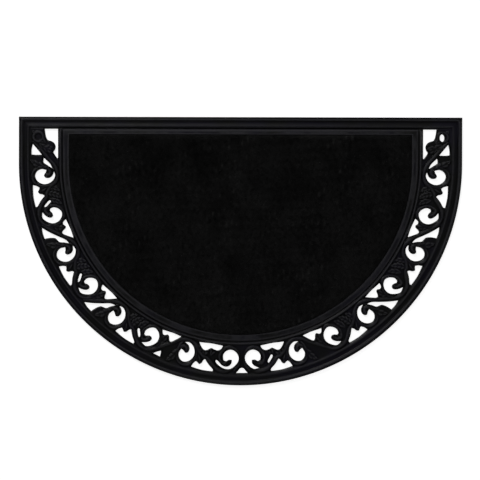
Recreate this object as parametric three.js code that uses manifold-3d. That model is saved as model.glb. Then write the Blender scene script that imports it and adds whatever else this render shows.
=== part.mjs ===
// Half-round doormat: a moulded rubber tray whose curved border is pierced in a leafy scroll,
// with a coir pad set in it. Millimetres, +Z up. The underside is at z = 0, the straight edge
// faces +Y and the round edge -Y.

import * as THREE from "three";
import { mergeVertices } from "three/addons/utils/BufferGeometryUtils.js";
import Module from "manifold-3d";

const wasm = await Module();
wasm.setup();

// Driving sizes of the mat's outline: straight sides that run into a half circle.
const matWidth = 762;
const straightSide = 80;
const outerRadius = matWidth / 2;
const matDepth = outerRadius + straightSide;
const topY = matDepth / 2;
const arcCentreY = topY - straightSide;

const arcSegments = 60;
const sideEndRun = 2; // how far before a corner the side's section starts to turn into the top's section

// Heights above the floor
const bandZ = 4.4; // the pierced scroll border, between its raised stems
const ledgeZ = 8; // the ledge round the pad
const recessZ = 2.6; // the tray's floor under the pad
const padZ = 12; // the top of the coir
const padGap = 0.4; // between the coir and the tray

const recess = { side: 87, top: 30.5 };

// The tray's section, from its foot over the rim, the border and the ledge to the recess under the pad.
// side and top are insets from the mat's edge, on the round and straight sides and along the back edge.
const traySection = [
  { name: "foot", side: 0, sideZ: 0, top: 0, topZ: 0 },
  { name: "wall", side: 0, sideZ: 3.4, top: 0, topZ: 3.4 },
  { name: "shoulder", side: 1.6, sideZ: 5.2, top: 1, topZ: 5.2 },
  { name: "bead outside", side: 3.6, sideZ: 6.6, top: 2.2, topZ: 6.6 },
  { name: "bead crown", side: 5.2, sideZ: 7, top: 3.3, topZ: 7 },
  { name: "bead inside", side: 6.8, sideZ: 6.4, top: 4.6, topZ: 6.4 },
  { name: "valley", side: 8.4, sideZ: 5.2, top: 6.2, topZ: 5.2 },
  { name: "land", side: 14, sideZ: 5.8, top: 10.4, topZ: 5.8 },
  { name: "land crown", side: 17.2, sideZ: 6.2, top: 13, topZ: 6.4 },
  { name: "land edge", side: 18.6, sideZ: 5.8, top: 15, topZ: 6 },
  { name: "border outside", side: 19.4, sideZ: bandZ, top: 16.8, topZ: bandZ },
  { name: "border inside", side: 69, sideZ: bandZ, top: 17.4, topZ: bandZ },
  { name: "ridge outside", side: 70.2, sideZ: 6.4, top: 17.8, topZ: bandZ },
  { name: "ridge crown", side: 71.6, sideZ: 6.9, top: 18.2, topZ: bandZ },
  { name: "ridge inside", side: 73, sideZ: 6.3, top: 18.5, topZ: bandZ },
  { name: "groove", side: 75, sideZ: bandZ, top: 18.8, topZ: bandZ },
  { name: "ledge outside", side: 76.6, sideZ: 7.2, top: 19.8, topZ: 7.2 },
  { name: "ledge shoulder", side: 78.4, sideZ: ledgeZ, top: 21.4, topZ: ledgeZ },
  { name: "ledge inner edge", side: 84.6, sideZ: ledgeZ, top: 28.4, topZ: ledgeZ },
  { name: "ledge inside", side: recess.side, sideZ: 6.8, top: recess.top, topZ: 6.8 },
  { name: "recess floor", side: recess.side, sideZ: recessZ, top: recess.top, topZ: recessZ },
];

// The coir pad's section, from its glued underside up its sheared edge to its top.
const padEdge = { side: recess.side + padGap, top: recess.top + padGap };
const padSection = [
  padRow("underside", 0, recessZ + padGap),
  padRow("side", 0, padZ - 2.4),
  padRow("rounding", 0.9, padZ - 0.8),
  padRow("top edge", 2.8, padZ),
];

// The scroll runs along the border from each back corner to the middle of the round edge.
// along is measured on the border's middle line from the back edge, and inset from the mat's edge.
const borderMiddle = 44.5;
const firstEye = 100.5; // from the back edge to the first eye's place
const centreShift = 3; // the moulded pattern meets this far to the right of the mat's middle
const halfRun = straightSide + (Math.PI / 2) * (outerRadius - borderMiddle);
const unitsPerSide = 3;
const lastEye = 97.6; // from the last eye back from where the two sides meet
const sides = [
  { sign: -1, pitch: 138.8, run: halfRun + centreShift },
  { sign: 1, pitch: 136.2, run: halfRun - centreShift },
];

// Openings of the scroll. Each row is a point: along, inset, and 1 where the outline has a corner.
// The points of a repeat are set from its outer eye's place, those of the middle from where the sides meet.
const openings = {
  // the eye of the outer volute, with the curled stem's knob in it
  outerEye: [
    [-8.8, 47, 1], [-10.6, 38.5, 0], [-7.2, 30.8, 0], [0, 27, 0], [8.2, 30, 0],
    [14.2, 38.5, 0], [14.8, 47.5, 0], [10.2, 56.6, 0], [1.5, 61.4, 0], [-6, 59.8, 1],
    [1.4, 56.6, 0], [5, 51, 0], [4.2, 44.6, 0], [0, 42.4, 0], [-4.5, 45.4, 0],
  ],
  // between the volutes, under the outer rim, with a leaf tip reaching in
  rimWedge: [
    [15, 22, 1], [33, 20.3, 0], [50, 20.8, 1], [50.4, 23.8, 0], [43, 30.6, 0], [35, 39.4, 1],
    [32.4, 37, 0], [30.6, 32, 0], [27.2, 29.4, 0], [23.8, 31.4, 0], [20.6, 33, 1], [17.2, 28.4, 0],
  ],
  // between the main stem and the curled stem of the inner volute
  stemSliver: [
    [52.6, 35.4, 0], [53.6, 38, 0], [49, 45.4, 0], [45.8, 48.8, 0], [43.8, 46.4, 0], [47.6, 40.6, 0],
  ],
  // the eye of the inner volute
  innerEye: [
    [61, 30.2, 1], [69.6, 27.8, 0], [77.4, 33, 0], [83.6, 42.2, 0], [83.2, 52.4, 0], [77.4, 59.8, 0],
    [69.2, 62.4, 0], [61.6, 58.2, 0], [57.4, 50.8, 0], [58.2, 44.8, 1], [61.4, 43.4, 0],
    [65.4, 45.8, 0], [70.6, 46.4, 0], [73.6, 43, 0], [72, 38, 0], [66.4, 33, 0],
  ],
  // the long opening between the main stem and the leaf before an outer volute
  stemWedge: [
    [-53.4, 22, 1], [-44.8, 20.3, 0], [-35.4, 20.2, 1], [-33.8, 29.2, 0], [-29.6, 37.8, 0],
    [-21.6, 41.4, 0], [-17.8, 48.2, 0], [-12.4, 56, 1], [-19.8, 53.4, 0], [-29.2, 45, 0], [-41.4, 33, 0],
  ],
  // between the main stem and the ledge
  ledgeWedge: [
    [-55, 65.8, 1], [-51.6, 59.6, 0], [-47.6, 58.8, 0], [-43.4, 61.6, 0], [-39.8, 60.2, 0], [-37.2, 54.8, 0],
    [-33.8, 52, 0], [-27.6, 57.2, 0], [-18.6, 66.8, 1], [-34.4, 67.8, 0],
  ],
  // the back corner: the square opening and the two halves of the first stem wedge
  cornerOpening: [
    [-80, 44, 1], [-67.2, 46, 0], [-61, 49.2, 0], [-59.2, 54.4, 0], [-56.6, 59.4, 0], [-50, 62.8, 0],
    [-43.2, 61.2, 0], [-40, 59, 0], [-34.4, 62, 0], [-29, 66, 1], [-30.2, 67, 1], [-80, 67, 1],
  ],
  cornerWedge: [
    [-54, 23.6, 1], [-44.8, 21.6, 0], [-35.8, 21.4, 1], [-35.2, 29.2, 0], [-35.4, 39, 1], [-41, 34.6, 0],
  ],
  cornerTail: [[-30, 42.6, 1], [-22.4, 42, 0], [-18.8, 46.6, 0], [-12, 57, 1], [-19.6, 53.4, 0]],
  // the middle, where the last inner volutes of the two sides stand back to back
  leafWedge: [[-50, 22.2, 1], [-38, 21.6, 1], [-38.8, 27, 0], [-40, 31.6, 1], [-45.4, 27.2, 0]],
  middleLedge: [
    [-78.4, 66.2, 1], [-73, 59.4, 0], [-67, 54.8, 0], [-61.4, 56, 0], [-55.6, 60, 0], [-50.4, 58.8, 0],
    [-43.4, 57.6, 0], [-37.2, 61, 0], [-34.6, 66.4, 1], [-56, 68, 0],
  ],
  middleEye: [
    [-28.4, 28.6, 1], [-20.2, 27.4, 0], [-12, 33.4, 0], [-6.4, 41.6, 0], [-6, 50, 0], [-11.4, 57.6, 0],
    [-19.4, 60.6, 0], [-28, 57.6, 0], [-32.6, 50.6, 0], [-31.6, 42.4, 1], [-27.2, 40.6, 0], [-22.6, 43.2, 0],
    [-17.2, 43, 1], [-17.2, 37.6, 0], [-21, 32.8, 0],
  ],
  middleEyeWithStem: [
    [-44.2, 37.6, 0], [-36.6, 31, 0], [-28.4, 27.4, 0], [-19.8, 27.4, 0], [-11.6, 33.4, 0], [-6, 41.6, 0],
    [-6, 50, 0], [-11.4, 57.6, 0], [-19.4, 60.6, 0], [-28, 57.6, 0], [-32.4, 50.6, 0], [-31.4, 42.2, 1],
    [-27, 40.4, 0], [-22.4, 43.2, 0], [-17, 43, 1], [-17.4, 37.6, 0], [-21.4, 32.6, 0], [-27, 31, 0],
    [-33.8, 33.4, 0], [-40.2, 39.4, 0], [-44, 41, 0],
  ],
  middleWedge: [
    [-9.4, 21, 1], [9.4, 21, 1], [5.8, 25.4, 0], [2.4, 29.4, 0], [-2.4, 29.4, 0], [-5.8, 25.4, 0],
  ],
};

// The corner's curl is open on the right-hand side only, and is an oval.
const curlEye = { along: -65.4, inset: 34.4, halfLength: 6.4, halfWidth: 4 };

// The scroll's raised stems: how far each stands above the border, half its width, and the line it follows.
// The lines' points are along and inset, set from an outer eye's place.
const stems = {
  // the main stem, winding under each outer volute and over each inner one
  main: {
    raised: 1.9,
    halfWidth: 3.1,
    steps: 20,
    line: [
      [-57, 25], [-50, 32], [-38, 43.5], [-26, 53], [-15.5, 62], [0, 66], [13, 61.5], [21, 52],
      [30, 45.4], [41, 39.6], [54, 27.4], [68.9, 23.2], [79, 26.4], [84.5, 30.6],
    ],
  },
  outerRing: {
    raised: 1.4,
    halfWidth: 2.2,
    steps: 10,
    line: [
      [-9, 60.5], [-13, 53], [-13.8, 45], [-12, 34], [-7.2, 25.4], [1.2, 22.4], [10, 25], [16.8, 32.6],
      [18.8, 42], [18, 52], [11.6, 61.4],
    ],
  },
  outerCurl: {
    raised: 1.5,
    halfWidth: 2.4,
    steps: 4,
    line: [[-12.6, 48], [-8.4, 52.6], [-2.6, 53], [1.4, 48.6]],
  },
  innerRing: {
    raised: 1.4,
    halfWidth: 2.2,
    steps: 10,
    line: [
      [80, 26], [86.6, 35], [88.4, 47], [84.4, 58.6], [75, 65.4], [65, 64.6], [57.6, 58], [53.6, 48.4],
      [55.6, 38.6],
    ],
  },
  innerCurl: {
    raised: 1.5,
    halfWidth: 2.4,
    steps: 4,
    line: [[54, 44], [58, 36.6], [64.6, 37.4], [69.6, 42.6]],
  },
};
const lastInnerShift = 5; // how far the last inner volute of a side sits on from its place in the repeat
const stemEnd = 0.55; // the share of its size that a stem keeps at its ends
const stemSunk = 0.8; // how deep a stem starts in the border

// Steps that a curved stretch of an opening gets between two of its points
const stepsPerSpan = 2;
const cutterBottom = -2;
const cutterDepth = 20;

function padRow(name, inset, z) {
  return { name, side: padEdge.side + inset, sideZ: z, top: padEdge.top + inset, topZ: z };
}

// One closed line round the mat at a row of a section, anticlockwise seen from above.
function ring(row) {
  const radius = outerRadius - row.side;
  const backY = topY - row.top;
  const sideEndY = backY - sideEndRun;
  const points = [
    new THREE.Vector3(radius, backY, row.topZ),
    new THREE.Vector3(-radius, backY, row.topZ),
    new THREE.Vector3(-radius, sideEndY, row.sideZ),
  ];
  for (let i = 0; i <= arcSegments; i++) {
    const angle = Math.PI + (Math.PI * i) / arcSegments;
    const x = radius * Math.cos(angle);
    const y = arcCentreY + radius * Math.sin(angle);
    points.push(new THREE.Vector3(x, y, row.sideZ));
  }
  points.push(new THREE.Vector3(radius, sideEndY, row.sideZ));
  return points;
}

// A closed solid through the rows of a section, with flat ends.
function loft(section) {
  const rings = section.map(ring);
  const count = rings[0].length;
  const vertices = rings.flat();
  const triangles = [];
  const flatFaces = (points) =>
    THREE.ShapeUtils.triangulateShape(points.map((p) => new THREE.Vector2(p.x, p.y)), []);

  for (const [a, b, c] of flatFaces(rings[0])) triangles.push(a, c, b);
  for (let r = 0; r + 1 < rings.length; r++) {
    for (let i = 0; i < count; i++) {
      const low = r * count + i;
      const lowNext = r * count + ((i + 1) % count);
      triangles.push(low, lowNext, lowNext + count, low, lowNext + count, low + count);
    }
  }
  const last = (rings.length - 1) * count;
  for (const [a, b, c] of flatFaces(rings.at(-1))) triangles.push(last + a, last + b, last + c);

  const geometry = new THREE.BufferGeometry().setFromPoints(vertices);
  geometry.setIndex(triangles);
  return geometry;
}

// A point of the border, from how far it is along one side's run and its inset from the mat's edge.
function onBorder(side, along, inset) {
  const radius = outerRadius - inset;
  const turned = Math.max(0, along - straightSide) / (outerRadius - borderMiddle);
  const x = radius * Math.cos(turned);
  const y = along < straightSide ? topY - along : arcCentreY - radius * Math.sin(turned);
  return new THREE.Vector2(side.sign * x, y);
}

// The curved outline through an opening's points: smooth, but for its corners.
function curved(points) {
  const at = ([along, inset]) => new THREE.Vector3(along, inset, 0);
  const firstCorner = points.findIndex(([, , corner]) => corner);
  if (firstCorner < 0) {
    const loop = new THREE.CatmullRomCurve3(points.map(at), true, "centripetal");
    return loop.getPoints(points.length * stepsPerSpan).slice(0, -1);
  }
  const turned = [...points.slice(firstCorner), ...points.slice(0, firstCorner + 1)];
  const outline = [];
  let stretch = [];
  turned.forEach((point, i) => {
    stretch.push(at(point));
    if (i === 0 || !point[2]) return;
    const steps = stretch.length === 2 ? 1 : (stretch.length - 1) * stepsPerSpan;
    outline.push(...new THREE.CatmullRomCurve3(stretch, false, "centripetal").getPoints(steps).slice(0, -1));
    stretch = [at(point)];
  });
  return outline;
}

function oval({ along, inset, halfLength, halfWidth }) {
  const steps = 14;
  return Array.from({ length: steps }, (_, i) => {
    const angle = (2 * Math.PI * i) / steps;
    return new THREE.Vector3(along + halfLength * Math.cos(angle), inset + halfWidth * Math.sin(angle), 0);
  });
}

const weldDistance = 1e-5;

function toManifold(geometry) {
  const bare = geometry.clone();
  bare.deleteAttribute("normal");
  bare.deleteAttribute("uv");
  const merged = mergeVertices(bare, weldDistance);
  return new wasm.Manifold(
    new wasm.Mesh({
      numProp: 3,
      vertProperties: new Float32Array(merged.attributes.position.array),
      triVerts: new Uint32Array(merged.index.array),
    }),
  );
}

function fromManifold(solid) {
  const mesh = solid.getMesh();
  const geometry = new THREE.BufferGeometry();
  geometry.setAttribute("position", new THREE.BufferAttribute(mesh.vertProperties, 3));
  geometry.setIndex(new THREE.BufferAttribute(mesh.triVerts, 1));
  return geometry;
}

// A cutter through the whole tray in the shape of an opening, its place along one side's run given.
function cutter(side, place, outline) {
  const shape = new THREE.Shape(outline.map((p) => onBorder(side, place + p.x, p.y)));
  const geometry = new THREE.ExtrudeGeometry(shape, { depth: cutterDepth, bevelEnabled: false });
  geometry.translate(0, 0, cutterBottom);
  return toManifold(geometry);
}

// A stem as a closed bar along its line, with a crest and two sloping sides.
function stemBar(side, place, { raised, halfWidth, steps, line }) {
  const places = line.map(([along, inset]) => new THREE.Vector3(place + along, inset, 0));
  const curve = new THREE.CatmullRomCurve3(places);
  const middle = curve.getPoints(steps).map((p) => onBorder(side, p.x, p.y));
  const vertices = [];
  middle.forEach((point, i) => {
    const before = middle[Math.max(0, i - 1)];
    const after = middle[Math.min(steps, i + 1)];
    const across = after.clone().sub(before).normalize().rotateAround(new THREE.Vector2(), Math.PI / 2);
    const size = i === 0 || i === steps ? stemEnd : 1;
    for (const sign of [-1, 1]) {
      const foot = point.clone().addScaledVector(across, sign * halfWidth * size);
      vertices.push(new THREE.Vector3(foot.x, foot.y, bandZ - stemSunk));
    }
    vertices.push(new THREE.Vector3(point.x, point.y, bandZ + raised * size));
  });
  const triangles = [0, 2, 1];
  for (let i = 0; i < steps; i++) {
    for (let j = 0; j < 3; j++) {
      const near = i * 3 + j;
      const nearNext = i * 3 + ((j + 1) % 3);
      triangles.push(near, nearNext, nearNext + 3, near, nearNext + 3, near + 3);
    }
  }
  const end = steps * 3;
  triangles.push(end, end + 1, end + 2);
  const geometry = new THREE.BufferGeometry().setFromPoints(vertices);
  geometry.setIndex(triangles);
  return toManifold(geometry);
}

// Every raised stem of the scroll.
function scrollStems() {
  return sides.flatMap((side) => {
    const places = Array.from({ length: unitsPerSide }, (_, k) => firstEye + k * side.pitch);
    places.push(side.run - lastEye);
    return places.flatMap((place, k) => {
      const innerPlace = k < unitsPerSide ? place : place + lastInnerShift;
      return [
        stemBar(side, place, stems.main),
        stemBar(side, place, stems.outerRing),
        stemBar(side, place, stems.outerCurl),
        stemBar(side, innerPlace, stems.innerRing),
        stemBar(side, innerPlace, stems.innerCurl),
      ];
    });
  });
}

// Every opening of the scroll, from the back corners to the middle.
function scrollCutters() {
  const cutters = [];
  const cut = (side, place, ...names) => {
    for (const name of names) cutters.push(cutter(side, place, curved(openings[name])));
  };
  for (const side of sides) {
    const onLeft = side.sign < 0;
    const eye = (k) => firstEye + k * side.pitch;
    cut(side, eye(0), "cornerOpening", "cornerWedge", "cornerTail");
    if (!onLeft) cutters.push(cutter(side, eye(0), oval(curlEye)));
    for (let k = 0; k < unitsPerSide; k++) {
      cut(side, eye(k), "outerEye", "rimWedge", "innerEye");
      if (onLeft) cut(side, eye(k), "stemSliver");
      cut(side, eye(k + 1), "ledgeWedge");
      if (k + 1 < unitsPerSide) cut(side, eye(k + 1), "stemWedge");
    }
    cut(side, side.run - lastEye, "outerEye", "rimWedge");
    cut(side, side.run, "middleLedge");
    if (onLeft) cut(side, side.run - lastEye, "leafWedge");
    if (onLeft) cut(side, side.run, "middleEyeWithStem");
    else cut(side, side.run, "middleEye");
    if (!onLeft) cut(side, side.run - lastEye, "stemSliver");
  }
  cut(sides[0], sides[0].run, "middleWedge");
  return cutters;
}

const rubber = new THREE.MeshStandardMaterial({
  name: "rubber",
  color: 0x1b1b1d,
  roughness: 0.55,
  metalness: 0,
});
const coir = new THREE.MeshStandardMaterial({
  name: "coir",
  color: 0x0d0d0c,
  roughness: 0.95,
  metalness: 0,
});

function rubberTray() {
  const raised = scrollStems().reduce((tray, stem) => tray.add(stem), toManifold(loft(traySection)));
  const solid = scrollCutters().reduce((tray, opening) => tray.subtract(opening), raised);
  const mesh = new THREE.Mesh(fromManifold(solid), rubber);
  mesh.name = "rubber_tray";
  return mesh;
}

function coirPad() {
  const mesh = new THREE.Mesh(loft(padSection), coir);
  mesh.name = "coir_pad";
  return mesh;
}

const doormat = new THREE.Group();
doormat.add(rubberTray(), coirPad());

export default doormat;
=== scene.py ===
# Looks of the half-round doormat: a moulded rubber tray with a pierced scroll border, and a coir pad.
# Sizes are in millimetres here and become metres where a mesh is made.

import math

import bpy
import numpy as np
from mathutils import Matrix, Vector
from mathutils.geometry import delaunay_2d_cdt
from mathutils.kdtree import KDTree


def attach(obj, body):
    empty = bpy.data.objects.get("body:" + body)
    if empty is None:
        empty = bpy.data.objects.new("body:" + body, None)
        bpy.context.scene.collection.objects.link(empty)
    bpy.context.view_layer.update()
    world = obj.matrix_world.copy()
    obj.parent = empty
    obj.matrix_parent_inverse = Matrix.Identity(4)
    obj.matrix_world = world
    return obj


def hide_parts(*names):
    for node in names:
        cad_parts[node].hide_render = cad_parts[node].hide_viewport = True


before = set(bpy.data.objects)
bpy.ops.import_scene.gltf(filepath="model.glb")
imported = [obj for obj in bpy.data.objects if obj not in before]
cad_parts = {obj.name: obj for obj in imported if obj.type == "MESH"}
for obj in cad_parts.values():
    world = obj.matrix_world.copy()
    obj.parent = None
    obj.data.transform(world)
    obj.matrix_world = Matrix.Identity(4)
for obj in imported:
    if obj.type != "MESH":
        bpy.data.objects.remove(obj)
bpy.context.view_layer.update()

MM = 0.001
TINY = 1e-6  # keeps a division or a look-up from failing, and shows nowhere
LEAST = 1e-9  # a length or an area under this is none

# Unevenness is made of waves in several directions, with lengths about the one asked for.
WAVES = 7
WAVE_LENGTHS = (0.7, 1.5)
# Each unevenness has a seed of its own.
TRAY_SEED = 3
LUMP_SEED = 11
LEAN_SEEDS = (21, 22)
TIP_SEED = 23
MOTTLE_SEED = 30
FLECK_SEED = 50
FLECKED_SEED = 60
PILE_SEED = 7

# The mat's outline, and its levels above the floor
OUTER_RADIUS = 381.0
STRAIGHT_SIDE = 80.0
TOP_Y = (OUTER_RADIUS + STRAIGHT_SIDE) / 2
ARC_CENTRE_Y = TOP_Y - STRAIGHT_SIDE
BORDER_Z = 4.4  # the border between its stems
BORDER_OUTER = 19.4  # the pierced border's insets from the mat's edge
BORDER_INNER = 69.0
BORDER_BACK = 18.2  # and from the back edge
BORDER_FADE = 1.0  # how far the scroll's relief fades over the border's edges
PAD_INSET_SIDE = 87.4
PAD_INSET_TOP = 30.9
PAD_UNDERSIDE = 3.0
PAD_TOP = 10.1  # the coir's body, under the tips of its pile

# The tray's section as insets and heights: on the sides and the round edge, and on the back edge.
TRAY_SECTION = [
    # side, its height, back, its height
    (0.0, 4.6, 0.0, 5.4),
    (0.3, 5.3, 0.3, 5.7),
    (1.2, 5.8, 1.2, 5.8),
    (3.0, 6.5, 2.3, 5.8),
    (4.4, 7.3, 3.2, 6.2),
    (5.4, 7.5, 4.0, 6.9),
    (6.2, 7.1, 4.7, 7.1),
    (7.0, 6.1, 5.5, 6.9),
    (7.8, 5.4, 6.5, 6.0),
    (8.6, 5.1, 7.3, 5.0),
    (10.2, 4.9, 8.4, 4.6),
    (12.4, 4.9, 10.2, 4.7),
    (13.8, 5.4, 12.2, 5.0),
    (15.2, 6.1, 14.0, 5.8),
    (16.4, 6.3, 15.6, 6.3),
    (17.8, 5.7, 16.9, 6.0),
    (19.3, BORDER_Z, 18.0, BORDER_Z),
    (68.6, BORDER_Z, 18.5, 3.1),
    (69.6, 4.8, 18.8, 2.9),
    (70.4, 6.7, 19.1, 2.9),
    (71.6, 7.5, 19.4, 2.9),
    (72.8, 6.8, 19.7, 2.9),
    (73.9, 5.4, 20.1, 3.0),
    (75.1, 5.1, 20.7, 3.6),
    (76.0, 6.5, 21.4, 5.8),
    (77.4, 7.8, 22.3, 7.4),
    (79.8, 8.2, 24.3, 7.9),
    (83.6, 8.4, 27.6, 8.3),
    (86.2, 8.5, 29.6, 8.5),
    (86.7, 8.4, 30.2, 8.5),
    (86.9, 7.2, 30.4, 7.2),
    (87.0, 5.0, 30.5, 5.0),
    (87.1, 2.6, 30.6, 2.6),
]
SECTION_STEPS = 3  # rings drawn to each row of the section
RING_SPACING = 5.5  # between the points of one ring
MITRE_BLEND = 2.0  # how far the back edge's section blends into the sides' at a corner

# The scroll's layout, as in the solid: measured from the back edge along the border's middle line
BORDER_MIDDLE = 44.5
FIRST_EYE = 100.5
CENTRE_SHIFT = 3.0
HALF_RUN = STRAIGHT_SIDE + math.pi / 2 * (OUTER_RADIUS - BORDER_MIDDLE)
UNITS_PER_SIDE = 3
LAST_EYE = 97.6
LAST_INNER_SHIFT = 5.0
SIDES = [
    {"sign": -1, "pitch": 138.8, "run": HALF_RUN + CENTRE_SHIFT},
    {"sign": 1, "pitch": 136.2, "run": HALF_RUN - CENTRE_SHIFT},
]

# Raised stems: height, half width and line, set from an outer volute's place (along, inset)
STEMS = {
    "main": (2.3, 3.4, [
        (-57, 25), (-50, 32), (-38, 43.5), (-26, 53), (-15.5, 62), (0, 66), (13, 61.5), (21, 52),
        (30, 45.4), (41, 39.6), (54, 27.4), (68.9, 23.2), (79, 26.4), (84.5, 30.6),
    ]),
    "outer ring": (1.7, 2.5, [
        (-9, 60.5), (-13, 53), (-13.8, 45), (-12, 34), (-7.2, 25.4), (1.2, 22.4), (10, 25), (16.8, 32.6),
        (18.8, 42), (18, 52), (11.6, 61.4),
    ]),
    "outer curl": (1.9, 2.7, [(-12.6, 48), (-8.4, 52.6), (-2.6, 53), (1.8, 47.6)]),
    "inner ring": (1.7, 2.5, [
        (80, 26), (86.6, 35), (88.4, 47), (84.4, 58.6), (75, 65.4), (65, 64.6), (57.6, 58), (53.6, 48.4),
        (55.6, 38.6),
    ]),
    "inner curl": (1.9, 2.7, [(54, 44), (58, 36.6), (64.6, 37.4), (70.0, 43.4)]),
}
INNER_STEMS = ("inner ring", "inner curl")
STEM_TAPER = 0.6  # what is left of a stem's width and height at its ends
TAPER_SHARE = 0.125  # the share of its length that the taper takes
UNIT_SPAN = (-60.0, 100.0)  # how far a unit reaches along the border, from its outer volute
FIRST_UNIT_SPAN = (-90.0, 100.0)
PAST_CENTRE = 40.0  # how far past the mat's middle line a side's last unit is looked for
MEETING = 6.0  # how far the two sides' scrolls overlap where they meet
RIDGE_FULLNESS = 0.8  # under 1, a ridge's flanks are fuller than a parabola's
STEM_SPACING = 2.0  # between the points of a stem's line
BULB_RADIUS = 4.2
BULB_HEIGHT = 1.9
BULBS = {"outer curl": (1.4, 47.4), "inner curl": (69.6, 42.8)}

# Leaves, in the same places
LEAVES = [
    # root and tip of the midrib, its bow to the left, half width, height, lobes a side
    ((-13.0, 46.0), (-26.5, 20.0), 2.0, 6.4, 1.7, 3),
    ((21.0, 48.5), (28.6, 28.5), -1.6, 4.6, 1.5, 2),
    ((21.0, 47.5), (30.5, 68.0), 1.8, 5.4, 1.7, 3),
    ((31.0, 45.5), (43.5, 68.5), 2.2, 6.4, 1.8, 4),
    ((43.0, 47.5), (55.0, 67.5), 1.6, 5.4, 1.6, 3),
    ((-54.0, 35.0), (-40.0, 63.0), -2.4, 6.6, 1.7, 4),
]
CORNER_LEAVES = [
    ((-56.0, 46.0), (-78.0, 23.5), 2.4, 6.6, 1.7, 4),
    ((-48.0, 44.0), (-42.5, 62.0), 1.4, 5.2, 1.5, 3),
]
LEAF_WIDEST = 0.4  # the share of its length at which a leaf is widest
LEAF_FULLNESS = 1.7  # how much higher than its top a leaf's swelling would be, had it not been levelled
LEAF_NOTCH = 0.2  # how much of its width a leaf loses between two lobes
LEAF_FURROW = 0.38  # how much of its height it loses there
LEAF_POINT = 0.75  # over 0.5, a leaf's tip is more pointed than its root
NOTCH_SHARPNESS = 3  # higher is narrower
FURROW_SHARPNESS = 6
LEAF_SLANT = 0.7  # how far ahead a vein runs from the midrib to the edge, in lobes
MIDRIB_HALF_WIDTH = 0.9
CORNER_CURL = {"centre": (-66.0, 33.6), "radius": 8.2, "half_width": 2.7, "raised": 2.0, "pit": 1.7}
CURL_BOWL = (0.35, 0.75)  # the shares of its radius between which the pit rises to the curl

# The border's openwork is rounded off towards every opening, down to its lip.
EDGE_ROUND = 2.8  # how far from a lip the rounding starts
EDGE_DROP = 1.2
LIP_REACH = (0.8, 4.6)  # how far from a lip the rubber is painted darker, as shade

# The moulding's slight unevenness, kept off its very edge
WAVINESS = 0.06
WAVE_LENGTH = 34.0
WAVY_INSET = 1.0

# The tray's mesh
GRID_SPACING = 0.95  # between the points of the even grid
LIP_ROWS = (0.45, 1.15)  # rows of points beside each lip, and how far out they are
ROW_SHARE = 0.8  # the least share of that distance that a row's point may be from any lip
LIP_CLEAR = 1.9  # the even grid stays this far from a lip
LEAST_GAP = 0.4  # between any two of the border's loose points
OUTLINE_SPACING = 1.1  # between an outline's own points
LIP_SPACING = 0.4  # between the points that distances to a lip are taken from
TRAY_SMOOTH = 40  # edges bent less than this many degrees are shaded smooth
BODY_SMOOTH = 80
CORNER_TURN = math.radians(48)  # an opening's outline that turns more than this has a corner
CREST_REACH = 3.0  # how far round a point its surroundings reach, for telling crests from hollows
CREST_SPAN = 1.8  # the rise over its surroundings that takes a point from hollow to crest
WALL_CREST = 0.15  # for the walls and the underside, which so take the hollows' painted shade in full
RIM_CREST_LIFT = 0.025  # the rim and the ledge lean further than the openwork between them towards the crests' painted highlight and out of the hollows' painted shade
UNDERSIDE_LEVEL = 0.05  # a CAD point this close to the floor, in millimetres, belongs to the underside

# The pad's body: how far in from its edge, and how far below its top
BODY_EDGE = [(0.0, 2.4), (1.0, 1.9), (2.4, 1.1), (4.4, 0.4), (7.0, 0.0)]
BODY_SPACING = 2.0
BODY_LUMPS = 0.18  # the height of its lumps, and their sizes
LUMP_LENGTHS = (5.0, 10.0, 42.0)

# The pile: thin spikes, their sizes and how they lean
FIBRE_PIECES = 3
FIBRES_PER_PIECE = 49500
FIBRE_WIDTH = 0.36
FIBRE_WIDTHS = (0.7, 1.35)  # shares of that width that a fibre may have
FIBRE_SUNK = 0.5  # how deep a fibre's root is in the body
FIBRE_RISE = 1.8
FIBRE_LEAST_RISE = 0.3
FIBRE_LEAN = 1.1  # how far a tip leans by itself, and with its tuft
TUFT_LEAN = 1.1
TUFT_LENGTH = 10.0
TIP_SPREAD = 0.36
TIP_HIGHEST = 12.9
EDGE_REACH = 5.5  # how far in from the pad's edge its pile stands differently
EDGE_LEAN = 0.5  # how far its tips lean out there
EDGE_UPRIGHT = 0.7  # the share of their other lean that they lose there

# The coir's tones, from 0, full black, to 1, where the fibre's own grey-brown shows
DYED_TONE = 0.112
FRONT_TONE = 0.06  # gained from the back of the mat to its front
EDGE_TONE = 0.02  # gained at the pad's edge
MOTTLES = [(180.0, 0.022), (90.0, 0.031), (42.0, 0.021), (14.0, 0.02)]  # wavelengths and strengths
FLECKS = [(9.0, 2.0, 0.26), (15.0, 0.8, 0.08), (27.0, 1.4, 0.03)]  # width, stretch to the front, tone
FLECK_SHARE = (1.05, 1.7)  # where a fleck starts and is full, in waves added up
DARK_FLECKS = 0.4  # how strong dark flecks are beside pale ones
FLECKED_LENGTH = 110.0  # the size of the stretches that have flecks, and of those between them
FLECKED_SHARE = (-0.6, 0.7)
TONE_SPREAD = 0.06  # from fibre to fibre
PALE_SHARE = 0.005  # the share of the fibres that took no dye
PALE_TONE = 1.0

# The materials' noises: scale per metre, detail and roughness
BROAD_NOISE = (13.0, 3.0, 0.55)
PATCH_NOISE = (24.0, 4.0, 0.7)
FINE_NOISE = (420.0, 3.0, 0.6)
GRAIN_NOISE = (1900.0, 2.0, 0.55)
FIBRE_NOISE = (900.0, 5.0, 0.7)
SHAFT_NOISE = (5200.0, 2.0, 0.55)
FLOOR_NOISE = (3.0, 4.0, 0.55)

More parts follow.
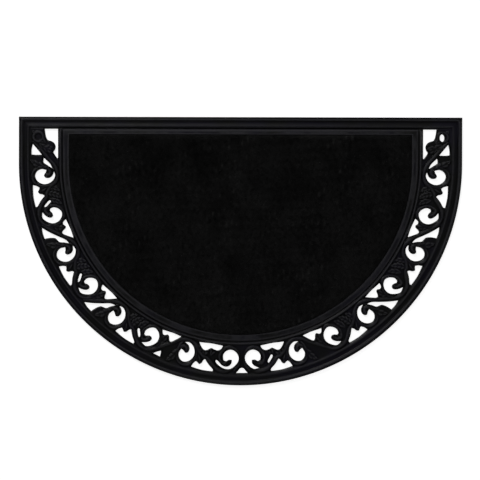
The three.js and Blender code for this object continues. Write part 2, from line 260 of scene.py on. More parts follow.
# What the rubber's noises, crests and hollows do: from one value to another, and the results there
BLUER_FLATS = (0.42, 0.58, 0.0, 1.0)
OUT_OF_HOLLOW = (0.16, 0.5, 0.0, 1.0)
ON_CREST = (0.51, 0.78, 0.0, 1.0)
# breaks the crests' painted highlight up finely
CREST_HIGHLIGHT_SPECKLE = (0.35, 0.65, 0.5, 1.0)
# breaks the ledge's painted highlight into patches
LEDGE_HIGHLIGHT_PATCHES = (0.41, 0.59, 0.0, 2.0)
FINE_ROUGHNESS = (0.3, 0.7, 0.46, 0.62)
PATCH_ROUGHNESS = (0.3, 0.7, -0.05, 0.07)
HOLLOW_GLOSS = (0.15, 0.5, -0.2, 0.0)
RUBBER_SHINE = 0.32
GRAIN_SHARE = 0.4
RUBBER_BUMP = (0.35, 0.00035)  # strength, and depth in metres

# And those of the coir and the floor
DYE_SPAN = (0.35, 0.7, 0.2, 1.6)
SHAFT_BUMP = (0.3, 0.0001)
BODY_BUMP = (0.8, 0.0012)
COIR_ROUGHNESS = 0.88
COIR_SHINE = 0.06
COIR_SHEEN = 0.05
SHEEN_ROUGHNESS = 0.55
FLOOR_ROUGHNESS = 0.9
FLOOR_SHINE = 0.1

# Base colours
RUBBER_GREY = (0.0094, 0.0097, 0.0095)
RUBBER_BLUE = (0.0104, 0.0090, 0.0205)
# painted shade, for the hollows, the lips, the walls and the underside
RUBBER_PAINTED_SHADE = (0.0012, 0.0012, 0.0014)
# painted highlight, for the crests and the ledge's top
RUBBER_HIGHLIGHT = (0.0700, 0.0693, 0.0775)
LEDGE_LEVELS = (0.0074, 0.0082)  # in metres: the heights at which the ledge's painted highlight begins and is full
# how strong the ledge's painted highlight is
LEDGE_HIGHLIGHT = 0.32
COIR_DYED = (0.0040, 0.0040, 0.0040)
COIR_BARE = (0.140, 0.139, 0.138)
FLOOR_PALE = (0.86, 0.86, 0.86)
FLOOR_PALER = (0.88, 0.88, 0.88)

# The camera looks straight down from about two metres, its middle a little behind the mat's.
PHOTO_SCALE = 1.7173  # millimetres of the mat to a pixel
PHOTO_WIDTH = 480
CAMERA_X = -0.55
CAMERA_Y = 19.4
CAMERA_TURN = math.radians(0.14)
LENS = 85.0
SENSOR = 36.0
NEAREST_SEEN = 0.05  # in metres
FURTHEST_SEEN = 50
MAT_LEVEL = 6.0  # the level that the photograph's scale is for

# Soft lights, in metres and watts, all turned to the mat's middle
LIGHTS = [
    {"name": "soft key", "place": (-1.6, 3.2, 2.7), "size": 1.6, "power": 46.0},
    {"name": "soft right", "place": (2.1, 0.5, 1.5), "size": 0.9, "power": 2.2},
    {"name": "soft front", "place": (-0.4, -2.2, 1.7), "size": 1.0, "power": 3.2},
]

# The floor, in metres, and how strongly it glows. It lies a little under the mat.
FLOOR_SIZE = 60.0
FLOOR_LEVEL = -0.0004
FLOOR_GLOW = 0.88

SURROUND_LOW = 0.18  # the surround's strength at the floor's level and overhead
SURROUND_HIGH = 0.015
OVERHEAD = 0.75  # the upward part of a direction that counts as overhead


def smoothstep(low, high, value):
    share = np.clip((value - low) / (high - low), 0, 1)
    return share * share * (3 - 2 * share)


# Waves of several directions added up: a smooth unevenness, the same on each run.
def ripple(x, y, wavelength, seed):
    rng = np.random.default_rng(seed)
    total = np.zeros_like(x)
    for _ in range(WAVES):
        turn = rng.uniform(0, math.tau)
        length = wavelength * rng.uniform(*WAVE_LENGTHS)
        phase = rng.uniform(0, math.tau)
        total += np.sin((x * math.cos(turn) + y * math.sin(turn)) * math.tau / length + phase)
    return total / math.sqrt(WAVES)


# The section as a smooth curve: a row number in, and (side, height, back, height) out.
def smooth_section(rows, steps):
    rows = np.array(rows)
    padded = np.vstack([rows[0], rows[0], rows, rows[-1], rows[-1]])
    points = []
    for k in range(len(padded) - 3):
        for u in np.arange(steps) / steps:
            weights = np.array([
                (1 - u) ** 3,
                3 * u ** 3 - 6 * u ** 2 + 4,
                -3 * u ** 3 + 3 * u ** 2 + 3 * u + 1,
                u ** 3,
            ]) / 6
            points.append(weights @ padded[k:k + 4])
    points.append(rows[-1])
    return np.array(points)


SECTION = smooth_section(TRAY_SECTION, SECTION_STEPS)
SECTION_ROW = np.arange(len(SECTION), dtype=float)
# Insets that only grow, so that a place can be looked up
SIDE_INSET = SECTION[:, 0] + SECTION_ROW * TINY
BACK_INSET = SECTION[:, 2] + SECTION_ROW * TINY


def insets(x, y):
    from_centre = np.hypot(x, np.minimum(y - ARC_CENTRE_Y, 0))
    return OUTER_RADIUS - from_centre, TOP_Y - y


# The height of the tray's plain section at each point
def section_height(x, y):
    side, back = insets(x, y)
    side_row = np.interp(side, SIDE_INSET, SECTION_ROW)
    back_row = np.interp(back, BACK_INSET, SECTION_ROW)
    by_side = np.interp(side_row, SECTION_ROW, SECTION[:, 1])
    by_back = np.interp(back_row, SECTION_ROW, SECTION[:, 3])
    below_mitre = back - np.interp(side_row, SECTION_ROW, SECTION[:, 2])
    share = np.clip(below_mitre / MITRE_BLEND, 0, 1)
    return np.where(side_row < back_row, by_back * (1 - share) + by_side * share, by_back)


# One closed line round the mat, at insets from its side and back edges
def half_round(side, back, spacing):
    radius = OUTER_RADIUS - side
    back_y = TOP_Y - back
    points = []
    across = max(2, round(2 * radius / spacing))
    down = max(2, round((back_y - ARC_CENTRE_Y) / spacing))
    round_edge = max(16, round(math.pi * radius / spacing))
    for i in range(across):
        points.append((radius - 2 * radius * i / across, back_y))
    for i in range(down):
        points.append((-radius, back_y - (back_y - ARC_CENTRE_Y) * i / down))
    for i in range(round_edge):
        angle = math.pi + math.pi * i / round_edge
        points.append((radius * math.cos(angle), ARC_CENTRE_Y + radius * math.sin(angle)))
    for i in range(down):
        points.append((radius, ARC_CENTRE_Y + (back_y - ARC_CENTRE_Y) * i / down))
    return np.array(points)


# Where a point of the border is: along one side's run from the back edge, and its inset
def along_border(x, y):
    inset, back = insets(x, y)
    turned = np.arctan2(ARC_CENTRE_Y - y, np.abs(x))
    along = np.where(y > ARC_CENTRE_Y, back, STRAIGHT_SIDE + turned * (OUTER_RADIUS - BORDER_MIDDLE))
    return along, inset


# A smooth line through a table's points, close together
def smooth_line(points, spacing, closed=False):
    points = np.array(points, float)
    count = len(points)
    spans = count if closed else count - 1
    line = []
    for k in range(spans):
        if closed:
            p0, p1, p2, p3 = (points[(k + j) % count] for j in (-1, 0, 1, 2))
        else:
            p0, p1 = points[max(k - 1, 0)], points[k]
            p2, p3 = points[k + 1], points[min(k + 2, count - 1)]
        steps = max(1, round(float(np.linalg.norm(p2 - p1)) / spacing))
        for u in np.arange(steps) / steps:
            line.append(0.5 * (
                2 * p1 + (p2 - p0) * u + (2 * p0 - 5 * p1 + 4 * p2 - p3) * u * u
                + (3 * p1 - p0 - 3 * p2 + p3) * u ** 3
            ))
    if not closed:
        line.append(points[-1])
    return np.array(line)


# The closed outlines of a CAD node's underside, in millimetres, anticlockwise
def underside_outlines(node):
    mesh = node.data
    places = {}
    ids = []
    for vertex in mesh.vertices:
        key = tuple(round(c / MM, 3) for c in vertex.co)
        ids.append(places.setdefault(key, len(places)))
    spots = list(places)
    edges = {}
    for face in mesh.polygons:
        corners = [ids[v] for v in face.vertices]
        if any(abs(spots[c][2]) > UNDERSIDE_LEVEL for c in corners):
            continue
        for a, b in zip(corners, corners[1:] + corners[:1]):
            if (b, a) in edges:
                del edges[(b, a)]
            else:
                edges[(a, b)] = True
    following = {a: b for a, b in edges}
    outlines = []
    while following:
        start = next(iter(following))
        loop = [start]
        at = following.pop(start)
        while at != start:
            loop.append(at)
            at = following.pop(at)
        outline = np.array([spots[i][:2] for i in loop])
        outlines.append(outline if area_of(outline) > 0 else outline[::-1])
    return sorted(outlines, key=area_of, reverse=True)


def area_of(outline):
    x, y = outline[:, 0], outline[:, 1]
    return 0.5 * float(np.sum(x * np.roll(y, -1) - np.roll(x, -1) * y))


# An opening's outline drawn smoothly again, keeping its corners
def refined(outline):
    before = outline - np.roll(outline, 1, axis=0)
    after = np.roll(outline, -1, axis=0) - outline
    turn = np.arctan2(
        before[:, 0] * after[:, 1] - before[:, 1] * after[:, 0],
        (before * after).sum(1),
    )
    corners = np.flatnonzero(np.abs(turn) > CORNER_TURN)
    if len(corners) == 0:
        return smooth_line(outline, closed=True, spacing=OUTLINE_SPACING)
    turned = np.roll(outline, -corners[0], axis=0)
    marks = list(corners - corners[0]) + [len(outline)]
    turned = np.vstack([turned, turned[:1]])
    stretches = [
        smooth_line(turned[a:b + 1], spacing=OUTLINE_SPACING)[:-1]
        for a, b in zip(marks, marks[1:])
    ]
    return np.vstack(stretches)


def inside(points, outline):
    low, high = outline.min(0), outline.max(0)
    near = np.flatnonzero(np.all((points >= low) & (points <= high), axis=1))
    found = np.zeros(len(points), bool)
    x, y = points[near, 0], points[near, 1]
    odd = np.zeros(len(near), bool)
    for (x1, y1), (x2, y2) in zip(outline, np.roll(outline, -1, axis=0)):
        if y1 != y2:
            odd ^= ((y1 > y) != (y2 > y)) & (x < (x2 - x1) * (y - y1) / (y2 - y1) + x1)
    found[near] = odd
    return found


# How far each point is from the nearest of many others
def distance_to(points, others):
    tree = KDTree(len(others))
    for i, (x, y) in enumerate(others):
        tree.insert((x, y, 0), i)
    tree.balance()
    return np.array([tree.find((x, y, 0))[2] for x, y in points])


# The distance from points to a polyline, and how far along it the nearest place is, from 0 to 1
def near_line(points, line):
    best = np.full(len(points), np.inf)
    place = np.zeros(len(points))
    lengths = np.linalg.norm(np.diff(line, axis=0), axis=1)
    total = lengths.sum()
    start = 0.0
    for a, b, length in zip(line[:-1], line[1:], lengths):
        share = np.clip(((points - a) @ (b - a)) / max(length, LEAST) ** 2, 0, 1)
        away = np.linalg.norm(points - a - share[:, None] * (b - a), axis=1)
        closer = away < best
        best = np.where(closer, away, best)
        place = np.where(closer, (start + share * length) / total, place)
        start += length
    return best, place


def rounded_ridge(away, half_width, height):
    return height * np.clip(1 - (away / half_width) ** 2, 0, 1) ** RIDGE_FULLNESS


# The height that a leaf adds: a pointed swelling, with lobes, slanting veins and a furrow along its midrib
def leaf_height(local, root, tip, bow, half_width, height, lobes):
    root, tip = np.array(root), np.array(tip)
    length = np.linalg.norm(tip - root)
    ahead = (tip - root) / length
    left = np.array([-ahead[1], ahead[0]])
    along = np.clip((local - root) @ ahead / length, 0, 1)
    across = np.abs((local - root) @ left - 4 * bow * along * (1 - along))
    vein = np.abs(np.cos(math.pi * (lobes * along - LEAF_SLANT * across / half_width)))
    taper = np.sqrt(along / LEAF_WIDEST) * ((1 - along) / (1 - LEAF_WIDEST)) ** LEAF_POINT
    width = half_width * taper * (1 - LEAF_NOTCH * vein ** NOTCH_SHARPNESS) + TINY
    body = np.clip(1 - (across / width) ** 2, 0, 1)
    off_midrib = np.clip(across / MIDRIB_HALF_WIDTH, 0, 1)
    furrows = 1 - LEAF_FURROW * vein ** FURROW_SHARPNESS * off_midrib
    midrib = 1 - LEAF_FURROW * np.exp(-(across / MIDRIB_HALF_WIDTH) ** 2)
    return height * np.minimum(LEAF_FULLNESS * body, 1) * furrows * midrib


# The height that the scroll's stems, bulbs and leaves add at each point of the border
def scroll_relief(x, y):
    along, inset = along_border(x, y)
    in_border = (inset > BORDER_OUTER - 2 * BORDER_FADE) & (inset < BORDER_INNER + 2 * BORDER_FADE)
    total = np.zeros(len(x))
    for side in SIDES:
        here = np.flatnonzero((x * side["sign"] > -PAST_CENTRE) & in_border)
        run = np.where(x[here] * side["sign"] >= 0, along[here], 2 * HALF_RUN - along[here])
        for k in range(UNITS_PER_SIDE + 1):
            first = k == 0
            last = k == UNITS_PER_SIDE
            place = side["run"] - LAST_EYE if last else FIRST_EYE + k * side["pitch"]
            local = np.column_stack([run - place, inset[here]])
            start, end = FIRST_UNIT_SPAN if first else UNIT_SPAN
            near = (local[:, 0] > start) & (local[:, 0] < end) & (run < side["run"] + MEETING)
            total[here[near]] = np.maximum(total[here[near]], unit_relief(local[near], last, first))
    return total


# One unit's relief, at points measured from its outer volute
def unit_relief(local, last, first):
    relief = np.zeros(len(local))
    for leaf in LEAVES + (CORNER_LEAVES if first else []):
        relief = np.maximum(relief, leaf_height(local, *leaf))
    for name, (raised, half_width, line) in STEMS.items():
        shift = LAST_INNER_SHIFT if last and name in INNER_STEMS else 0.0
        moved = local - np.array([shift, 0.0])
        away, place = near_line(moved, smooth_line(line, spacing=STEM_SPACING))
        from_end = np.clip(np.minimum(place, 1 - place) / TAPER_SHARE, 0, 1)
        taper = STEM_TAPER + (1 - STEM_TAPER) * from_end
        relief = np.maximum(relief, rounded_ridge(away, half_width * taper, raised * taper))
        if name in BULBS:
            from_bulb = np.linalg.norm(moved - np.array(BULBS[name]), axis=1)
            relief = np.maximum(relief, rounded_ridge(from_bulb, BULB_RADIUS, BULB_HEIGHT))
    if first:
        from_curl = np.linalg.norm(local - np.array(CORNER_CURL["centre"]), axis=1)
        ring = rounded_ridge(
            from_curl - CORNER_CURL["radius"], CORNER_CURL["half_width"], CORNER_CURL["raised"]
        )
        pit = CORNER_CURL["pit"] * (1 - smoothstep(*CURL_BOWL, from_curl / CORNER_CURL["radius"]))
        relief = np.where(from_curl < CORNER_CURL["radius"], ring - pit, np.maximum(relief, ring))
    return relief


# A mesh object from numpy arrays, in millimetres
def mesh_object(name, vertices, triangles, smooth_angle=None):
    mesh = bpy.data.meshes.new(name)
    mesh.vertices.add(len(vertices))
    mesh.vertices.foreach_set("co", (np.asarray(vertices) * MM).astype(np.float32).ravel())
    mesh.loops.add(len(triangles) * 3)
    mesh.loops.foreach_set("vertex_index", np.asarray(triangles, np.int32).ravel())
    mesh.polygons.add(len(triangles))
    mesh.polygons.foreach_set("loop_start", np.arange(0, len(triangles) * 3, 3, dtype=np.int32))
    mesh.update(calc_edges=True)
    if smooth_angle is not None:
        mesh.polygons.foreach_set("use_smooth", np.ones(len(triangles), bool))
        mesh.set_sharp_from_angle(angle=math.radians(smooth_angle))
    mesh.validate()
    thing = bpy.data.objects.new(name, mesh)
    bpy.context.scene.collection.objects.link(thing)
    return thing


# Triangles over points between an outer outline and its openings, all kept as edges.
# Outlines are lists of point numbers, the first one outermost.
def triangulated(points, outlines, lines=()):
    edges = []
    for loop in list(outlines) + list(lines):
        edges += list(zip(loop, loop[1:] + loop[:1]))
    flat = [Vector((float(x), float(y))) for x, y in points]
    found, _, faces, origins, _, _ = delaunay_2d_cdt(flat, edges, [], 0, TINY)
    number = [origin[0] for origin in origins]
    triangles = np.array([[number[v] for v in face] for face in faces])
    centres = points[triangles].mean(1)
    keep = inside(centres, points[outlines[0]])
    for loop in outlines[1:]:
        keep &= ~inside(centres, points[loop])
    triangles = triangles[keep]
    a, b, c = (points[triangles[:, i]] for i in range(3))
    turn = (b[:, 0] - a[:, 0]) * (c[:, 1] - a[:, 1]) - (b[:, 1] - a[:, 1]) * (c[:, 0] - a[:, 0])
    triangles[turn < 0] = triangles[turn < 0][:, ::-1]
    return triangles[np.abs(turn) > LEAST]


# A closed solid with a shaped top over points, a flat underside and walls along the outlines
def solid_between(name, points, top_z, bottom_z, outlines, lines=(), smooth_angle=TRAY_SMOOTH):
    top = triangulated(points, outlines, lines)
    rim = [i for loop in outlines for i in loop]
    low_number = {i: n for n, i in enumerate(rim)}
    low_loops = [[low_number[i] for i in loop] for loop in outlines]
    low = triangulated(points[rim], low_loops)[:, ::-1] + len(points)
    walls = []
    for loop, low_loop in zip(outlines, low_loops):
        for k in range(len(loop)):
            a, b = loop[k], loop[(k + 1) % len(loop)]
            c, d = (low_loop[j % len(loop)] + len(points) for j in (k, k + 1))
            walls += [(a, c, d), (a, d, b)]
    walls = np.array(walls)
    first = outlines[0]
    split = 2 * len(first)
    walls[split:] = walls[split:][:, ::-1]
    vertices = np.vstack([
        np.column_stack([points, top_z]),
        np.column_stack([points[rim], np.full(len(rim), bottom_z)]),
    ])
    return mesh_object(name, vertices, np.vstack([top, low, walls]), smooth_angle)


def numbered(parts):
    loops = []
    start = 0
    for part in parts:
        loops.append(list(range(start, start + len(part))))
        start += len(part)
    return loops


# The rubber tray: rings along its rims and ledge, a fine even mesh in the pierced border
def rubber_tray():
    openings = [refined(o) for o in underside_outlines(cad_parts["rubber_tray"])[1:]]
    lips = np.vstack([smooth_line(o, closed=True, spacing=LIP_SPACING) for o in openings])
    rings = [
        half_round(side, back, RING_SPACING)
        for side, _, back, _ in SECTION[1:]
        if not BORDER_OUTER + GRID_SPACING < side < BORDER_INNER - GRID_SPACING
    ]
    edge = half_round(0, 0, RING_SPACING)
    points = np.vstack([edge, *openings, *rings, border_points(openings, lips)])
    loops = numbered([edge, *openings, *rings])
    outlines = loops[:1 + len(openings)]
    lines = loops[1 + len(openings):]

    x, y = points.T
    side, back = insets(x, y)
    in_border = smoothstep(BORDER_OUTER - BORDER_FADE, BORDER_OUTER + BORDER_FADE, side)
    in_border *= 1 - smoothstep(BORDER_INNER - BORDER_FADE, BORDER_INNER + BORDER_FADE, side)
    in_border *= smoothstep(BORDER_BACK - BORDER_FADE, BORDER_BACK + BORDER_FADE, back)
    from_opening = distance_to(points, lips)
    from_edge = np.minimum(side, back)
    z = section_height(x, y) + scroll_relief(x, y) * in_border
    z -= EDGE_DROP * (1 - np.clip(from_opening / EDGE_ROUND, 0, 1)) ** 2
    z += WAVINESS * ripple(x, y, WAVE_LENGTH, TRAY_SEED) * (from_edge > WAVY_INSET)
    tray = solid_between("rubber_tray_moulding", points, z, 0.0, outlines, lines)
    mark_crests(tray, points, z, np.minimum(from_opening, from_edge), RIM_CREST_LIFT * (1 - in_border))
    return tray


# Stores how far each point of the top stands over those around it: 0 in a hollow or on a lip, 1 on a crest.
# The rubber paints shade by it in hollows, beside lips and on walls, and a highlight on crests.
def mark_crests(thing, points, z, from_lip, amount):
    tree = KDTree(len(points))
    for i, (x, y) in enumerate(points):
        tree.insert((x, y, 0), i)
    tree.balance()
    crest = np.full(len(thing.data.vertices), WALL_CREST)
    for i, (x, y) in enumerate(points):
        around = [j for _, j, _ in tree.find_range((x, y, 0), CREST_REACH)]
        # the rim and the ledge are lifted here towards the painted highlight
        crest[i] = 0.5 + amount[i] + (z[i] - z[around].mean()) / CREST_SPAN
    # painted shade beside the lips and the mat's edges
    crest[:len(points)] *= smoothstep(*LIP_REACH, from_lip)
    shade = thing.data.attributes.new("crest", "FLOAT", "POINT")
    shade.data.foreach_set("value", np.clip(crest, 0, 1).astype(np.float32))


# Points in even, staggered rows over the whole mat
def even_points(spacing):
    columns = np.arange(-OUTER_RADIUS, OUTER_RADIUS, spacing)
    rows = np.arange(-TOP_Y, TOP_Y, spacing * math.sqrt(3) / 2)
    x, y = np.meshgrid(columns, rows)
    x[1::2] += spacing / 2
    return np.column_stack([x.ravel(), y.ravel()])


def outside(points, outlines):
    for outline in outlines:
        points = points[~inside(points, outline)]
    return points


# Loose points that fill the pierced border evenly, with rows close along each opening
def border_points(openings, lips):
    grid = even_points(GRID_SPACING)
    side, back = insets(*grid.T)
    in_border = (side > BORDER_OUTER + GRID_SPACING) & (side < BORDER_INNER - GRID_SPACING)
    grid = outside(grid[in_border & (back > BORDER_BACK + GRID_SPACING)], openings)
    kept = [grid[distance_to(grid, lips) > LIP_CLEAR]]
    for out in LIP_ROWS:
        for opening in openings:
            ahead = np.roll(opening, -1, axis=0) - np.roll(opening, 1, axis=0)
            ahead /= np.linalg.norm(ahead, axis=1)[:, None]
            row = opening + out * np.column_stack([ahead[:, 1], -ahead[:, 0]])
            kept.append(outside(row[distance_to(row, lips) > ROW_SHARE * out], openings))
    return thinned(np.vstack(kept), LEAST_GAP)


# Points with none closer than a distance to one before it
def thinned(points, distance):
    tree = KDTree(len(points))
    for i, (x, y) in enumerate(points):
        tree.insert((x, y, 0), i)
    tree.balance()
    keep = np.ones(len(points), bool)
    for i, (x, y) in enumerate(points):
        if keep[i]:
            for _, j, _ in tree.find_range((x, y, 0), distance):
                if j > i:
                    keep[j] = False
    return points[keep]


# How far each point is from the coir pad's edge
def from_pad_edge(x, y):
    side, back = insets(x, y)
    return np.minimum(side - PAD_INSET_SIDE, back - PAD_INSET_TOP)


# The height of the coir's body: rolled down at its edge, and a little lumpy
def coir_level(x, y):
    inward, fall = np.array(BODY_EDGE).T
    drop = np.interp(from_pad_edge(x, y), inward, fall)
    lumps = sum(ripple(x, y, length, LUMP_SEED + k) for k, length in enumerate(LUMP_LENGTHS))
    return PAD_TOP - drop + BODY_LUMPS * lumps


# The coir pad's body: a low, uneven slab
def coir_body():
    outlines = [
        half_round(PAD_INSET_SIDE + inward, PAD_INSET_TOP + inward, BODY_SPACING)
        for inward, _ in BODY_EDGE
    ]
    grid = even_points(BODY_SPACING)
    grid = grid[from_pad_edge(*grid.T) > BODY_EDGE[-1][0] + BODY_SPACING / 2]
    points = np.vstack([*outlines, grid])
    loops = numbered(outlines)
    x, y = points.T
    body = solid_between(
        "coir_body", points, coir_level(x, y), PAD_UNDERSIDE, loops[:1], loops[1:], smooth_angle=BODY_SMOOTH
    )
    hidden = len(body.data.vertices) - len(points)
    set_tone(body, np.append(coir_tone(x, y), np.full(hidden, DYED_TONE)))
    return body


# How brown the dyed coir shows at each place: mottled, flecked, and greyer at the pad's edge
def coir_tone(x, y):
    mottle = sum(
        strength * ripple(x, y, length, MOTTLE_SEED + k)
        for k, (length, strength) in enumerate(MOTTLES)
    )
    flecks = 0.0
    for k, (width, stretch, strength) in enumerate(FLECKS):
        clump = ripple(x, y / stretch, width, FLECK_SEED + k)
        fleck = smoothstep(*FLECK_SHARE, clump) - DARK_FLECKS * smoothstep(*FLECK_SHARE, -clump)
        where = smoothstep(*FLECKED_SHARE, ripple(x, y, FLECKED_LENGTH, FLECKED_SEED + k))
        flecks = flecks + strength * fleck * where
    amount = (TOP_Y - PAD_INSET_TOP - y) / (2 * TOP_Y - PAD_INSET_TOP - PAD_INSET_SIDE)
    at_edge = 1 - smoothstep(0, EDGE_REACH, from_pad_edge(x, y))
    return DYED_TONE + FRONT_TONE * amount + mottle + flecks + EDGE_TONE * at_edge


def set_tone(thing, tone):
    shade = thing.data.attributes.new("fibre_tone", "FLOAT", "POINT")
    shade.data.foreach_set("value", np.clip(tone, 0, 1).astype(np.float32))


# Places for fibres, spread evenly at random over the pad
def fibre_places(rng, count):
    radius = OUTER_RADIUS - PAD_INSET_SIDE
    found = []
    total = 0
    while total < count:
        x = rng.uniform(-radius, radius, count)
        y = rng.uniform(-TOP_Y, TOP_Y - PAD_INSET_TOP, count)
        good = from_pad_edge(x, y) > FIBRE_WIDTH
        found.append(np.column_stack([x, y])[good])
        total += int(good.sum())
    return np.vstack(found)[:count].T


# The way out of the pad at each point, as the two parts of a direction
def outward(x, y):
    side, back = insets(x, y)
    by_back = back - PAD_INSET_TOP < side - PAD_INSET_SIDE
    below = np.minimum(y - ARC_CENTRE_Y, 0)
    from_centre = np.hypot(x, below)
    return np.where(by_back, 0, x / from_centre), np.where(by_back, 1, below / from_centre)


# The cut pile: thin closed spikes that stand in the coir's body and lean in tufts, and out at its edge
def coir_pile(index, count):
    rng = np.random.default_rng(PILE_SEED + index)
    x, y = fibre_places(rng, count)
    at_edge = 1 - smoothstep(0, EDGE_REACH, from_pad_edge(x, y))
    loose = 1 - EDGE_UPRIGHT * at_edge
    out_x, out_y = outward(x, y)
    lean_x = TUFT_LEAN * ripple(x, y, TUFT_LENGTH, LEAN_SEEDS[0]) + rng.normal(0, FIBRE_LEAN, count)
    lean_y = TUFT_LEAN * ripple(x, y, TUFT_LENGTH, LEAN_SEEDS[1]) + rng.normal(0, FIBRE_LEAN, count)
    lean_x = loose * lean_x + EDGE_LEAN * at_edge * out_x
    lean_y = loose * lean_y + EDGE_LEAN * at_edge * out_y
    level = coir_level(x, y)
    spread = TIP_SPREAD * (ripple(x, y, TUFT_LENGTH, TIP_SEED) + rng.normal(0, 1, count))
    tip = np.clip(level + FIBRE_RISE + spread, level + FIBRE_LEAST_RISE, TIP_HIGHEST)
    turn = rng.uniform(0, math.tau, count)
    width = FIBRE_WIDTH * rng.uniform(*FIBRE_WIDTHS, count)
    vertices = np.zeros((count, 4, 3))
    for corner in range(3):
        angle = turn + corner * math.tau / 3
        vertices[:, corner, 0] = x + width * np.cos(angle)
        vertices[:, corner, 1] = y + width * np.sin(angle)
        vertices[:, corner, 2] = level - FIBRE_SUNK
    vertices[:, 3] = np.column_stack([x + lean_x, y + lean_y, tip])
    faces = np.array([(0, 2, 1), (0, 1, 3), (1, 2, 3), (2, 0, 3)])
    triangles = (np.arange(count)[:, None, None] * 4 + faces).reshape(-1, 3)
    pile = mesh_object(f"coir_pile_{index + 1}", vertices.reshape(-1, 3), triangles)
    tone = coir_tone(x, y) + rng.normal(0, TONE_SPREAD, count)
    tone = np.where(rng.uniform(0, 1, count) < PALE_SHARE, PALE_TONE, tone)
    set_tone(pile, np.repeat(tone, 4))
    return pile


# Small helpers for node materials
class Nodes:
    def __init__(self, name):
        self.material = bpy.data.materials.new(name)
        self.material.use_nodes = True
        self.tree = self.material.node_tree
        self.shader = self.tree.nodes["Principled BSDF"]
        self.place = self.add("ShaderNodeTexCoord").outputs["Object"]

    def add(self, kind, **properties):
        node = self.tree.nodes.new(kind)
        for name, value in properties.items():
            setattr(node, name, value)
        return node

    def attribute(self, name):
        return self.add("ShaderNodeAttribute", attribute_name=name).outputs["Fac"]

    def link(self, source, target):
        self.tree.links.new(source, target)

    def noise(self, scale, detail, roughness):
        node = self.add("ShaderNodeTexNoise")
        node.inputs["Scale"].default_value = scale
        node.inputs["Detail"].default_value = detail
        node.inputs["Roughness"].default_value = roughness
        self.link(self.place, node.inputs["Vector"])
        return node.outputs["Fac"]

    def span(self, source, low, high, to_low, to_high):
        node = self.add("ShaderNodeMapRange")
        for key, value in (("From Min", low), ("From Max", high), ("To Min", to_low), ("To Max", to_high)):
            node.inputs[key].default_value = value
        self.link(source, node.inputs["Value"])
        return node.outputs["Result"]

    def math(self, operation, a, b):
        node = self.add("ShaderNodeMath", operation=operation)
        for socket, value in ((node.inputs[0], a), (node.inputs[1], b)):
            if isinstance(value, (int, float)):
                socket.default_value = value
            else:
                self.link(value, socket)
        return node.outputs[0]

    def mix(self, share, low, high):
        node = self.add("ShaderNodeMix", data_type="RGBA")
        self.link(share, node.inputs["Factor"])
        sockets = [socket for socket in node.inputs if socket.type == "RGBA"]
        for socket, colour in zip(sockets, (low, high)):
            if isinstance(colour, tuple):
                socket.default_value = (*colour, 1)
            else:
                self.link(colour, socket)
        return next(socket for socket in node.outputs if socket.type == "RGBA")

    def bump(self, height, strength, distance):
        node = self.add("ShaderNodeBump")
        node.inputs["Strength"].default_value = strength
        node.inputs["Distance"].default_value = distance
        self.link(height, node.inputs["Height"])
        self.link(node.outputs["Normal"], self.shader.inputs["Normal"])


# Moulded black rubber, finely grained and blue-black on its flats, with painted shade in its hollows and
# beside its lips, and a painted highlight on its crests and, in patches, on the ledge's top
def rubber_material():
    m = Nodes("moulded rubber")
    broad = m.noise(*BROAD_NOISE)
    patches = m.noise(*PATCH_NOISE)
    fine = m.noise(*FINE_NOISE)
    grain = m.noise(*GRAIN_NOISE)
    crest = m.attribute("crest")
    height = m.add("ShaderNodeSeparateXYZ")
    m.link(m.place, height.inputs[0])
    flats = m.mix(m.span(broad, *BLUER_FLATS), RUBBER_GREY, RUBBER_BLUE)
    # Painted shade in the hollows and beside the lips, painted highlight on the crests and, in patches, on
    # the ledge's top
    painted_hollow_shade = m.mix(m.span(crest, *OUT_OF_HOLLOW), RUBBER_PAINTED_SHADE, flats)
    crest_highlight = m.math("MULTIPLY", m.span(crest, *ON_CREST), m.span(fine, *CREST_HIGHLIGHT_SPECKLE))
    on_ledge = m.span(height.outputs["Z"], *LEDGE_LEVELS, 0, LEDGE_HIGHLIGHT)
    patchy = m.span(patches, *LEDGE_HIGHLIGHT_PATCHES)
    painted_highlight = m.math("MAXIMUM", crest_highlight, m.math("MULTIPLY", on_ledge, patchy))
    m.link(m.mix(painted_highlight, painted_hollow_shade, RUBBER_HIGHLIGHT), m.shader.inputs["Base Color"])
    amount = m.math("ADD", m.span(fine, *FINE_ROUGHNESS), m.span(patches, *PATCH_ROUGHNESS))
    glossy = m.span(crest, *HOLLOW_GLOSS)
    m.link(m.math("ADD", amount, glossy), m.shader.inputs["Roughness"])
    m.shader.inputs["Specular IOR Level"].default_value = RUBBER_SHINE
    m.bump(m.math("ADD", m.math("MULTIPLY", grain, GRAIN_SHARE), fine), *RUBBER_BUMP)
    return m.material


# Black-dyed coir: each fibre has its own tone, and brown shows where the dye is thin
def coir_material(per_fibre):
    m = Nodes("dyed coir pile" if per_fibre else "dyed coir body")
    tone = m.attribute("fibre_tone")
    if per_fibre:
        m.bump(m.noise(*SHAFT_NOISE), *SHAFT_BUMP)
    else:
        fibres = m.noise(*FIBRE_NOISE)
        tone = m.math("MULTIPLY", tone, m.span(fibres, *DYE_SPAN))
        m.bump(fibres, *BODY_BUMP)
    m.link(m.mix(tone, COIR_DYED, COIR_BARE), m.shader.inputs["Base Color"])
    m.shader.inputs["Roughness"].default_value = COIR_ROUGHNESS
    m.shader.inputs["Specular IOR Level"].default_value = COIR_SHINE
    m.shader.inputs["Sheen Weight"].default_value = COIR_SHEEN
    m.shader.inputs["Sheen Roughness"].default_value = SHEEN_ROUGHNESS
    return m.material


def floor_material():
    m = Nodes("pale floor")
    m.link(m.mix(m.noise(*FLOOR_NOISE), FLOOR_PALE, FLOOR_PALER), m.shader.inputs["Base Color"])
    m.shader.inputs["Roughness"].default_value = FLOOR_ROUGHNESS
    m.shader.inputs["Specular IOR Level"].default_value = FLOOR_SHINE
    m.shader.inputs["Emission Color"].default_value = (1, 1, 1, 1)
    m.shader.inputs["Emission Strength"].default_value = FLOOR_GLOW
    return m.material


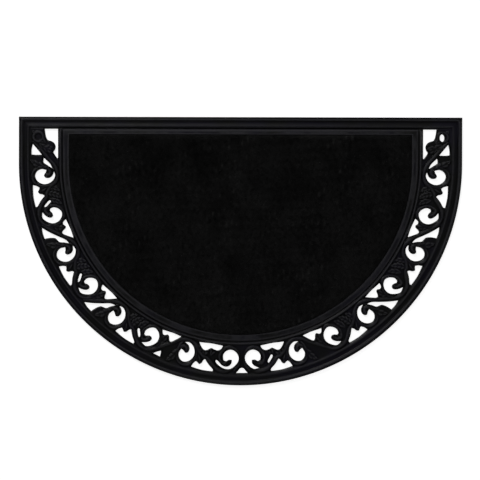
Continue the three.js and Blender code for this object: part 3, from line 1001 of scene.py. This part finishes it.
def make_camera():
    camera = bpy.data.objects.new("camera", bpy.data.cameras.new("camera"))
    bpy.context.scene.collection.objects.link(camera)
    camera.data.lens = LENS
    camera.data.sensor_width = SENSOR
    distance = PHOTO_SCALE * PHOTO_WIDTH * LENS / SENSOR
    camera.location = Vector((CAMERA_X, CAMERA_Y, distance + MAT_LEVEL)) * MM
    camera.rotation_euler = (0, 0, CAMERA_TURN)
    camera.data.clip_start = NEAREST_SEEN
    camera.data.clip_end = FURTHEST_SEEN
    bpy.context.scene.camera = camera


def area_light(name, place, size, power):
    light = bpy.data.objects.new(name, bpy.data.lights.new(name, "AREA"))
    bpy.context.scene.collection.objects.link(light)
    light.data.shape = "DISK"
    light.data.size = size
    light.data.energy = power
    light.location = Vector(place)
    light.rotation_mode = "QUATERNION"
    light.rotation_quaternion = Vector(place).to_track_quat("Z", "Y")


def make_stage():
    bpy.ops.mesh.primitive_plane_add(size=FLOOR_SIZE, location=(0, 0, FLOOR_LEVEL))
    floor = bpy.context.object
    floor.name = "floor"
    floor.data.materials.append(floor_material())
    for light in LIGHTS:
        area_light(**light)
    bpy.context.scene.world = studio_surround()
    bpy.context.scene.view_settings.view_transform = "Standard"


# The studio around the mat: paler towards the floor, dark overhead
def studio_surround():
    world = bpy.data.worlds.new("studio")
    world.use_nodes = True
    tree = world.node_tree
    direction = tree.nodes.new("ShaderNodeTexCoord")
    split = tree.nodes.new("ShaderNodeSeparateXYZ")
    ramp = tree.nodes.new("ShaderNodeMapRange")
    ramp.interpolation_type = "SMOOTHSTEP"
    ramp.inputs["From Min"].default_value = 0.0
    ramp.inputs["From Max"].default_value = OVERHEAD
    ramp.inputs["To Min"].default_value = SURROUND_LOW
    ramp.inputs["To Max"].default_value = SURROUND_HIGH
    background = tree.nodes["Background"]
    background.inputs["Color"].default_value = (1, 1, 1, 1)
    tree.links.new(direction.outputs["Generated"], split.inputs[0])
    tree.links.new(split.outputs["Z"], ramp.inputs["Value"])
    tree.links.new(ramp.outputs["Result"], background.inputs["Strength"])
    return world


def dress(piece, material):
    piece.data.materials.append(material)
    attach(piece, "root")


make_camera()
make_stage()

tray = rubber_tray()
dress(tray, rubber_material())
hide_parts("rubber_tray")

pad = coir_body()
dress(pad, coir_material(per_fibre=False))
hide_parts("coir_pad")
pile_material = coir_material(per_fibre=True)
fibres = FIBRES_PER_PIECE
piles = [coir_pile(i, fibres) for i in range(FIBRE_PIECES)]
for pile in piles:
    dress(pile, pile_material)
